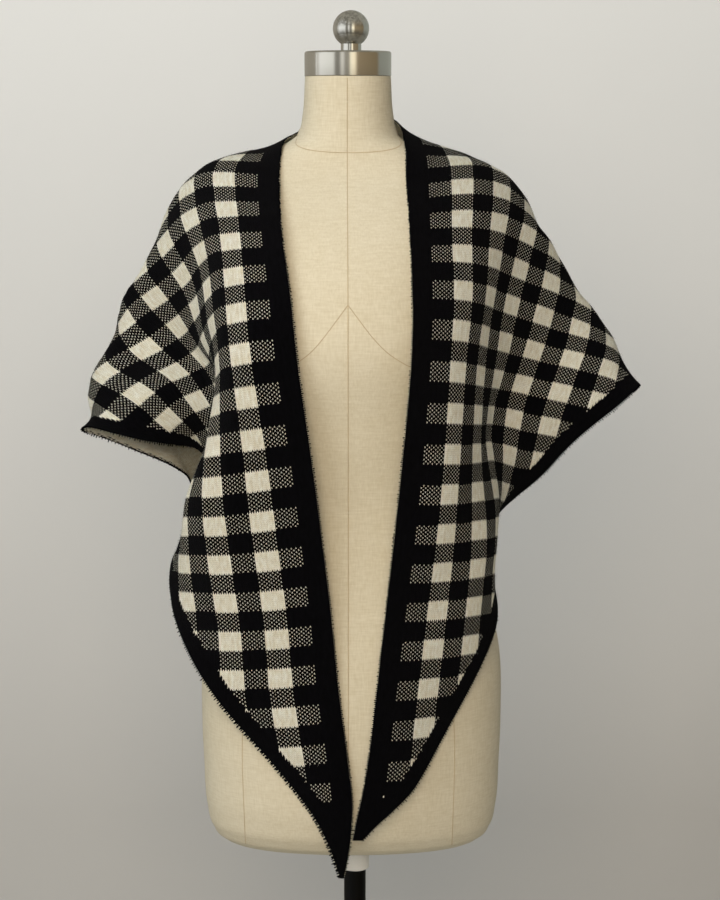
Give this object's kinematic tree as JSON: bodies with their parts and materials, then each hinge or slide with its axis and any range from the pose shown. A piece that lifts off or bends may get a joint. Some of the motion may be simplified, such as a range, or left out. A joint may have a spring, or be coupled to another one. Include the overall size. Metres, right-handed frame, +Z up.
{
  "type": "knit triangle shawl on a limbless dress form with a stand",
  "caption": "Checked knit triangle shawl with plain dark bands, draped open over the shoulders of a linen dress form on a round stand.",
  "frame": {"origin": "on the floor, under the middle of the form", "axes": "+Z up, -Y the way the form faces, +X to the wearer's left"},
  "size_m": [0.6367, 0.36, 1.5611],
  "materials": {
    "checked_knit": "double-faced wool-like jacquard knit in black, cream and a black-and-cream birdseye, cream on the reverse",
    "black_knit": "plain black knit bands, slightly hairy, matt",
    "form_linen": "stretched cream linen cover with flat seams, matt",
    "brushed_steel": "brushed round the neck, satin",
    "polished_steel": "polished steel ball, soft reflections",
    "white_plastic": "moulded off-white plastic, satin",
    "black_enamel": "black enamel on steel, semi-gloss"
  },
  "bodies": {
    "root": {"panel_back": "checked_knit", "panel_shoulder_left": "checked_knit", "panel_shoulder_right": "checked_knit", "panel_front_left": "checked_knit", "panel_front_right": "checked_knit", "edge_band_neck": "black_knit", "edge_band_left": "black_knit", "edge_band_right": "black_knit", "hem_band_left": "black_knit", "hem_band_right": "black_knit", "form_torso": "form_linen", "form_neck_cap": "brushed_steel", "form_finial": "polished_steel", "stand_collar": "white_plastic", "stand_pole": "black_enamel", "stand_socket": "black_enamel", "stand_base": "black_enamel"}
  },
  "joints": []
}
